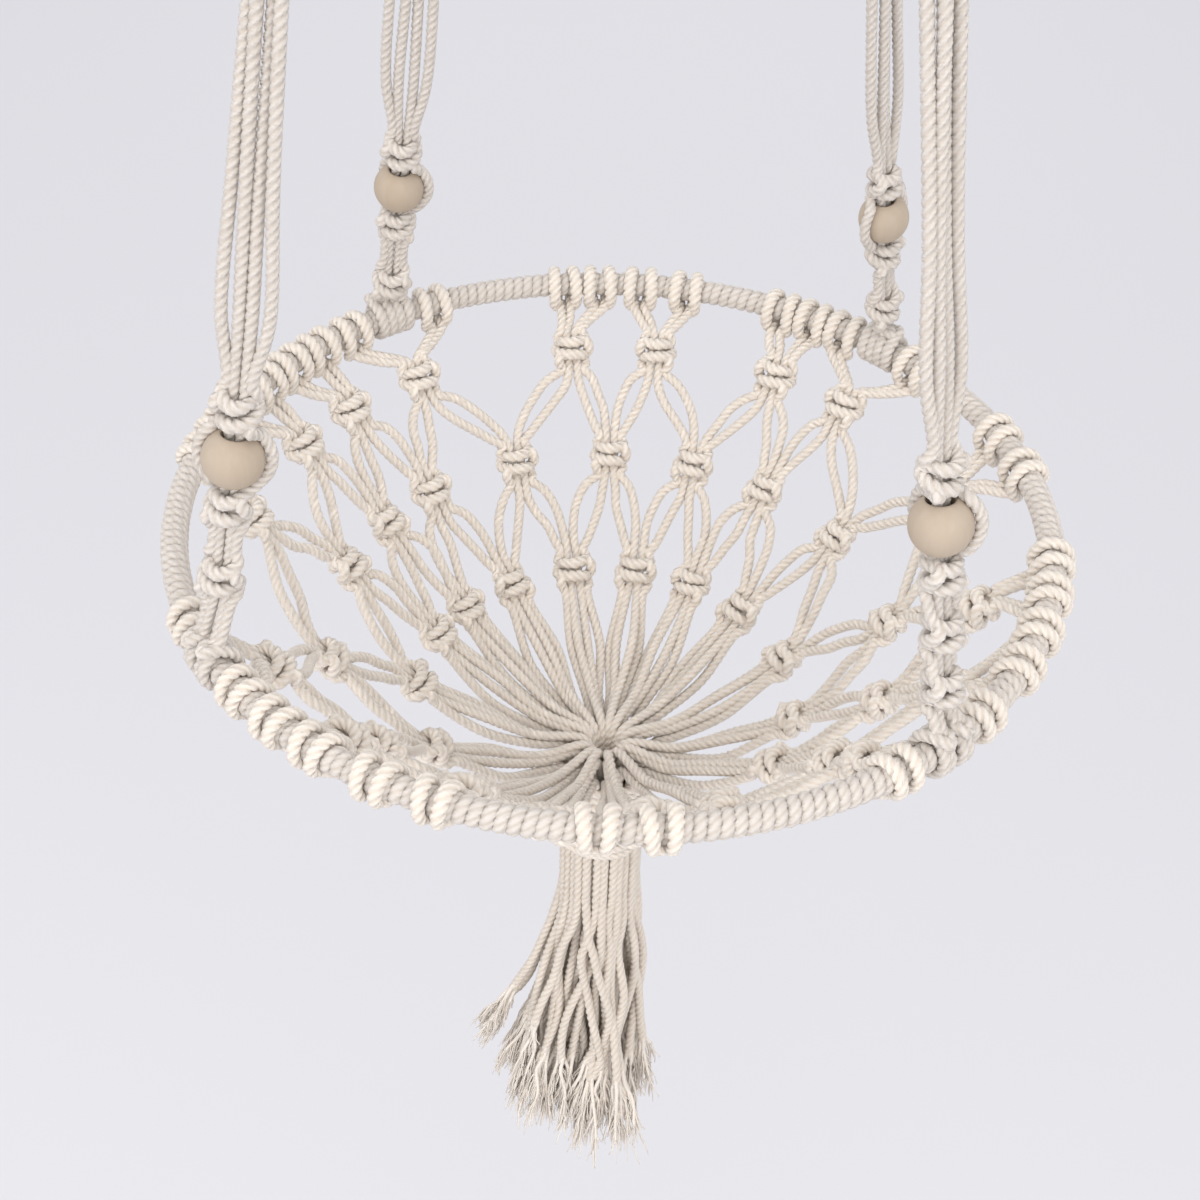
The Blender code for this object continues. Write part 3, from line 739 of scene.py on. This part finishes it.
def make_strap(index):
    """Four cords: hitched on the hoop, knotted, past and through the bead, and up to the gathering."""
    name, angle, _, bead_height, low_knot, _ = STRAPS[index]
    half = BEAD_RADIUS + 1.6 * CORD
    heights = [low_knot, bead_height - half, bead_height + half]
    length = drop_of(index)
    if heights[1] - heights[0] > 7.5 * CORD:
        heights.insert(1, (heights[0] + heights[1]) / 2)
    knots = []
    for height in heights:
        place, _ = strap_place(index, height)
        slope = rng.uniform(-0.08, 0.08)
        place = facing_front(Place(place.origin, place.x + place.z * slope, place.z))
        knot = square_knot(place, CORD, rng.random() < 0.4, 0.84, 0.94)
        knots.append([cord[::-1] for cord in knot])
    bead, _ = strap_place(index, bead_height)
    sides, spread, anchor, bow = STRAP_LIE[name]
    strands = []
    for k in range(4):
        strand = []
        for knot in knots[:-2]:
            strand += [*knot[k][:-1]] if len(knots) > 3 else [*knot[k]]
        cut = 2 if k in (0, 3) else 1
        strand += [*knots[-2][k][1 if len(knots) > 3 else 0 : -cut]]
        if k in (1, 2):
            aside = (k - 1.5) * 0.0036
            strand += [bead.at(aside, 0.0, z * MM, 0.86) for z in (-5.0, 0.0, 5.0)]
        else:
            reach = BEAD_RADIUS + 0.46 * CORD
            aside = polar(1.0, sides[0 if k == 0 else 1])
            aside = unit(aside - bead.z * aside.dot(bead.z))
            for turn in (-48, -17, 17, 48):
                at = bead.origin + (aside * cos(radians(turn)) + bead.z * sin(radians(turn))) * reach
                strand.append(np.array([*at, 1.0, 1.0]))
        strand += [*knots[-1][k][cut:]]
        start = bead_height + half + 2.5 * CORD
        for share in (0.03, 0.09, 0.2, 0.45, 0.7, 0.9):
            on_way, _ = strap_place(index, start + (length - start) * share)
            turn_in = min(1.0, max(0.0, (share - 0.3) / 0.6))
            across = unit(on_way.x * (1 - turn_in) + np.array([1.0, 0.0, 0.0]) * turn_in)
            narrow = 1.0 + (spread - 1.0) * min(1.0, share / 0.2)
            off = on_way.y * (0.0040 if k % 2 else -0.0036) * (1.0 - narrow)
            sway = rng.normal(0.0, 0.0005, 3) * (1.0 if share < 0.9 else 0.0)
            shift = np.array([*anchor, 0.0]) * MM * share + np.array([bow, 0.0, 0.0]) * sin(pi * share)
            point = on_way.origin + across * (k - 1.5) * ROW_PITCH * narrow + off + sway + shift
            strand.append(np.array([*point, 1.0, 1.0]))
        x = anchor[0] * MM + (k % 2 - 0.5) * 0.0042
        y = anchor[1] * MM + (k // 2 - 0.5) * 0.0042
        for level in (-0.003, 0.010):
            strand.append(np.array([x * 0.9, y * 0.9, GATHER_FOOT + level, 1.0, 1.0]))
        strands.append(strand)
    ropes = Ropes()
    for pair in (0, 1):
        halves = []
        for side in (-1, 1):
            k = 2 * pair + (0 if side < 0 else 1)
            spread_angle = degrees(0.0042 / HOOP_RADIUS)
            facing = 1.0 if runs_with_hoop(index) else -1.0
            hitch_angle = angle + facing * (2 * pair - 1) * spread_angle
            hitch = half_hitch(hitch_angle, strands[k][0][:3], side * facing, 0.46)
            halves.append(hitch + strands[k])
        ropes.add(smooth(halves[0][::-1] + halves[1][1:]))
    piece = ropes.build(f"strap_{name}", COTTON_CORD)
    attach(piece, "planter")
    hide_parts(f"strap_knots_{name}", *(f"strap_cord_{name}_{k}" for k in (1, 2, 3, 4)))


def drop_of(index):
    """The length of the strap's middle line, from the hoop to the gathering."""
    return strap_place(index, 0.0)[1]


def runs_with_hoop(index):
    """Whether the strap's cords, from left to right, go the way that the angle grows."""
    _, angle, across_angle, _, _, _ = STRAPS[index]
    return cos(radians(across_angle - angle - 90)) > 0


def bead_place(index):
    name = STRAPS[index][0]
    joint = JOINTS[f"bead_{name}_spin"]
    return Vector(joint["pos_m"]), Vector(joint["axis"])


def tidy(obj):
    """Puts a finished piece's place into its mesh."""
    bpy.ops.object.select_all(action="DESELECT")
    obj.select_set(True)
    bpy.context.view_layer.objects.active = obj
    bpy.ops.object.transform_apply(location=True, rotation=True, scale=True)


def bead_outline():
    """Half of a bead's section as a closed outline of (radius, height): a ball, a bore and eased rims."""
    bore, ease = BEAD_BORE / 2, 0.0005
    rim_angle = acos((bore + ease) / BEAD_RADIUS)
    rim_height = BEAD_RADIUS * sin(rim_angle) - ease
    ball = [(BEAD_RADIUS * cos(t), BEAD_RADIUS * sin(t)) for t in np.linspace(rim_angle, -rim_angle, 33)]
    turns = np.linspace(pi / 2, pi, 5)[1:]
    rim = [(bore + ease + ease * cos(t), rim_height + ease * sin(t)) for t in turns]
    wall = [(bore, height) for height in np.linspace(-rim_height, rim_height, 7)[1:-1]]
    return ball + [(radius, -height) for radius, height in rim] + wall + rim[::-1]


def make_beads():
    """Turned wooden beads with a bore and an eased rim."""
    outline = bead_outline()
    count, segments = len(outline), 48
    points = []
    faces = []
    for k in range(segments):
        angle = 2 * pi * k / segments
        points += [(radius * cos(angle), radius * sin(angle), height) for radius, height in outline]
        here, there = k * count, (k + 1) % segments * count
        for i in range(count):
            after = (i + 1) % count
            faces.append((here + i, here + after, there + after, there + i))
    for index in range(len(STRAPS)):
        name = STRAPS[index][0]
        centre, axis = bead_place(index)
        mesh = bpy.data.meshes.new(f"wooden_bead_{name}")
        mesh.from_pydata(points, [], faces)
        mesh.transform(Matrix.Translation(centre) @ axis.to_track_quat("Z", "Y").to_matrix().to_4x4())
        mesh.polygons.foreach_set("use_smooth", np.ones(len(faces), bool))
        mesh.materials.append(BEAD_WOOD)
        bead = bpy.data.objects.new(f"wooden_bead_{name}", mesh)
        bpy.context.scene.collection.objects.link(bead)
        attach(bead, f"bead_{name}_body")
        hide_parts(f"bead_{name}")


# --- Hanging ring, folded cords and wraps --------------------------------------------------------------


def make_ring():
    low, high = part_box("hanging_ring")
    bar = high[1] - low[1]
    radius = (high[2] - low[2] - bar) / 2
    bpy.ops.object.select_all(action="DESELECT")
    bpy.ops.mesh.primitive_torus_add(
        major_radius=radius,
        minor_radius=bar / 2,
        major_segments=96,
        minor_segments=28,
        location=tuple(middle("hanging_ring")),
        rotation=(pi / 2, 0, 0),
    )
    ring = bpy.context.object
    ring.name = "wooden_ring"
    bpy.ops.object.shade_smooth()
    tidy(ring)
    ring.data.materials.append(BEAD_WOOD)
    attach(ring, "ring")
    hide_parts("hanging_ring")


def make_top_loops():
    """Eight long cords folded over the ring, in two layers of four."""
    low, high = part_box("hanging_ring")
    bar = (high[1] - low[1]) / 2
    ropes = Ropes()
    for layer in (0, 1):
        reach = bar + 0.0026 + CORD * (0.5 + layer)
        inner = 0.0030 + 0.0043 * layer
        for k in range(4):
            x = (k - 1.5) * 0.0043
            over = [(x, -reach * cos(t), RING_LOW + reach * sin(t)) for t in np.linspace(0, pi, 9)]
            front = [(x * 0.84, -inner, GATHER_TOP - 0.012), (x * 0.86, -inner, GATHER_TOP - 0.001)]
            front.append((x * 0.94, -(inner + reach) / 2, GATHER_TOP + 0.0055))
            back = [(px, -py, pz) for px, py, pz in reversed(front)]
            ropes.add(smooth(front + over + back))
    loops = ropes.build("folded_cords", COTTON_CORD)
    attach(loops, "planter")
    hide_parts("top_loops")


def wound(radius, top, foot, pitch):
    """A cord wound round a bundle from top to foot, with its ends tucked in."""
    turns = (top - foot - CORD) / pitch
    count = int(turns * 24)
    share = np.arange(count + 1) / count
    angle = 2 * pi * turns * share + 0.6
    wobble = 1 + 0.010 * np.sin(angle * 0.37) + 0.008 * np.sin(angle * 1.9 + 1.0)
    tuck = np.maximum(0.0, 1.0 - np.minimum(share, 1 - share) * turns * 12)
    reach = (radius - CORD / 2) * wobble * (1 - 0.12 * tuck)
    level = top - CORD / 2 - pitch * turns * share
    full = np.ones(count + 1)
    return np.stack([reach * np.cos(angle), reach * np.sin(angle), level, full, full], axis=1)


def make_wraps():
    for name, node, radius, slot_name, material in (
        ("gathering_winding", "gathering_wrap", GATHER_RADIUS, "cotton_cord", COTTON_CORD),
        ("tie_winding", "bottom_tie", TIE_RADIUS, "cotton_net", COTTON_NET_PAINTED_LIGHT),
    ):
        foot, top = ends(node)
        ropes = Ropes()
        ropes.add(wound(radius, top, foot, CORD * 0.985))
        piece = ropes.build(name, material)
        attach(piece, "planter")
        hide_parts(node)


# --- Tassel --------------------------------------------------------------------------------------------

NECK_SPLIT = (FIRST_BEND + SECOND_BEND) / 2
TASSEL_LAY = 0.0125
RINGS = ((1, 0.0), (6, 0.0042), (12, 0.0084), (18, 0.0124), (27, 0.0164))
DECLARED = 40
STRAND_LOBES = (1.0, 0.9, 1.0, 0.9, 1.0, 0.9)
# The loose curl of one front cord: depth below the hoop in hoop radii, and sideways in millimetres
FRONT_CURL = ((1.2, 1.31, 1.45, 1.6, 1.79, 1.91, 2.0, 2.15, 2.4), (-5, -4, -3, 1, 8, 6, -2, -7, -8))


def tassel_places():
    """The 64 cords' places in the bundle, from the middle outwards."""
    places = []
    for count, radius in RINGS:
        for k in range(count):
            angle = 2 * pi * (k + 0.35 * count + rng.uniform(-0.25, 0.25)) / count + radius * 90
            reach = radius - abs(rng.normal(0.0, 0.0007))
            places.append((reach * cos(angle), reach * sin(angle)))
    return places


def wavy(start, ahead, reach, spread, wave, steps=9, droop=0.0):
    """A thin strand's line from its start: it spreads to one side, waves and droops."""
    phase = rng.uniform(0, 2 * pi)
    bend = unit(rng.normal(0, 1, 3)) * wave
    turns = rng.uniform(4.0, 8.0)
    line = []
    for share in np.linspace(0.0, 1.0, steps):
        point = start + ahead * reach * share + spread * share**1.3
        point = point + bend * (sin(phase + turns * share) - sin(phase)) * min(1.0, 3 * share)
        point = point - np.array([0, 0, droop * share**2])
        line.append([*point, 1.0 - 0.45 * share])
    return line


def fray(ropes, line):
    """A cord's open end: its three strands come apart, and each ends in fine fibres."""
    tip = line[-1, :3]
    ahead = unit(line[-1, :3] - line[-6, :3])
    side = unit(np.cross(ahead, (0.3, 0.9, 0.1)))
    other = np.cross(ahead, side)
    start_angle = rng.uniform(0, 2 * pi)
    for k in range(3):
        angle = start_angle + 2 * pi * k / 3
        out = side * cos(angle) + other * sin(angle)
        reach = rng.uniform(0.020, 0.042)
        start = tip - ahead * 0.004 + out * 0.0011
        strand = wavy(start, ahead, reach, out * rng.uniform(0.001, 0.006), 0.0014, droop=0.003)
        ropes.add(smooth(strand, 3), 0.0025, STRAND_LOBES, 0.006, 0.0016, grooved=0.0)
        for _ in range(24):
            root = np.array(strand[rng.integers(2, 9)][:3])
            stray = unit(rng.normal(0, 1, 3)) * rng.uniform(0.0005, 0.0052)
            fibre = wavy(root, ahead, rng.uniform(0.008, 0.019), stray, 0.0007, 6, 0.003)
            ropes.add(fibre, rng.uniform(0.0007, 0.0013), (1.0, 1.0, 1.0), 1.0, 0.0035, grooved=0.0)


def tassel_route(x, y, front_curl):
    """A cord's way down from the middle of the neck. The further left a cord fans out, the higher it ends."""
    fan = min(1.0, max(0.0, (0.006 - x) / 0.0205))
    far = fan**1.5 * rng.uniform(0.2, 1.0)
    tip_x = 1.42 * x - 0.0020 - 0.0210 * far + rng.normal(0, 0.0035)
    tip_y = 1.5 * y + rng.normal(0, 0.0045)
    foot = SKIRT_FOOT + 0.064 + 0.044 * far + abs(rng.normal(0, 0.009))
    start = NECK_SPLIT
    long_wave, short_wave = rng.normal(0.0, 0.0022, 2), rng.normal(0.0, 0.0009, 2)
    phase, other_phase = rng.uniform(0, 2 * pi, 2)
    points = []
    for share in np.linspace(0.0, 1.0, 15):
        spread = share**1.5
        grown = min(1.0, 3.5 * share)
        sway = sin(phase + 5.2 * share) * grown * long_wave
        sway = sway + sin(other_phase + 13.0 * share) * grown * short_wave
        px = x + (tip_x - x) * spread + sway[0]
        py = y + (tip_y - y) * spread + sway[1]
        level = start + (foot - start) * share
        if front_curl:
            depth = (HOOP_Z - level) / HOOP_RADIUS
            px = x + (float(np.interp(depth, *FRONT_CURL)) * MM - x) * grown
            py = y - 0.004 * grown
        points.append([px, py, level])
    return np.array(points)


def make_tassel():
    """64 cords from the tie: through the neck as one piece, then each hanging free, frayed at its end."""
    neck = Ropes()
    frayed = Ropes()
    inner_frayed = Ropes()
    rest = Ropes()
    places = tassel_places()
    order = sorted(range(len(places)), key=lambda k: -(places[k][0] ** 2 + places[k][1] ** 2))
    routes = {}
    curl = min(order[:27], key=lambda k: abs(places[k][0] + 0.005) + places[k][1])
    for k in order:
        x, y = places[k]
        routes[k] = even(smooth(tassel_route(x, y, k == curl)), STEP)
        top = TIE_FOOT + 0.012
        points = [[x * 0.98, y * 0.98, top, 1.0], [x, y, TIE_FOOT, 1.0]]
        points += [[x, y, FIRST_BEND, 1.0], [x, y, NECK_SPLIT - 0.0004, 1.0]]
        neck.add(smooth(points), lay=TASSEL_LAY)
    piece = neck.build("tassel_neck_cords", COTTON_TASSEL)
    below = 2 * FIRST_BEND - TIE_FOOT + 0.008
    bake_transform(piece)
    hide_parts("tassel_neck")
    number = 0
    for k in order:
        line = routes[k]
        fray(frayed if number < DECLARED else inner_frayed, line)
        if number >= DECLARED:
            rest.add(line, lay=TASSEL_LAY)
            continue
        number += 1
        one = Ropes()
        one.add(line, lay=TASSEL_LAY)
        cord = one.build(f"tassel_cord_{number:02d}", COTTON_TASSEL)
        hang_from_neck(cord)
        if number == 1:
            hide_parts("tassel_skirt")
    inner = rest.build("tassel_inner_cords", COTTON_TASSEL)
    hang_from_neck(inner)
    for name, ends_ in (("tassel_frayed_ends", frayed), ("tassel_inner_frayed_ends", inner_frayed)):
        fringe = ends_.build(name, COTTON_FRAY)
        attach(fringe, "tassel")


def hang_from_neck(piece):
    start = (0, 0, NECK_SPLIT - 0.0015)
    end = (0, 0, 2 * SECOND_BEND - NECK_SPLIT + 0.0015)
    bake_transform(piece)


make_camera()
COTTON_CORD = cotton_material("strap_cotton", (0.77, 0.72, 0.67), (0.71, 0.65, 0.59))
# Painted light: the net's cotton, which the tie winding also uses, is the same cord as the straps' but made
# lighter to stand in for light in the shaded bowl.
COTTON_NET_PAINTED_LIGHT = cotton_material("net_cotton", (0.92, 0.85, 0.765), (0.865, 0.785, 0.70))
COTTON_TASSEL = cotton_material("tassel_cotton", (0.81, 0.735, 0.65), (0.745, 0.66, 0.57))
COTTON_FRAY = cotton_material("frayed_cotton", (0.88, 0.81, 0.73), (0.82, 0.74, 0.65))
BEAD_WOOD = wood_material("raw_bead_wood", (0.49, 0.41, 0.325), (0.40, 0.315, 0.23))
ROD_STEEL = steel_material("rod_steel")
make_tassel()
make_net()
make_winding()
for strap_index in range(len(STRAPS)):
    make_strap(strap_index)
make_beads()
make_ring()
make_top_loops()
make_wraps()
frame["nodes"]["hoop_rod"].material_slots[0].material = ROD_STEEL
make_studio()
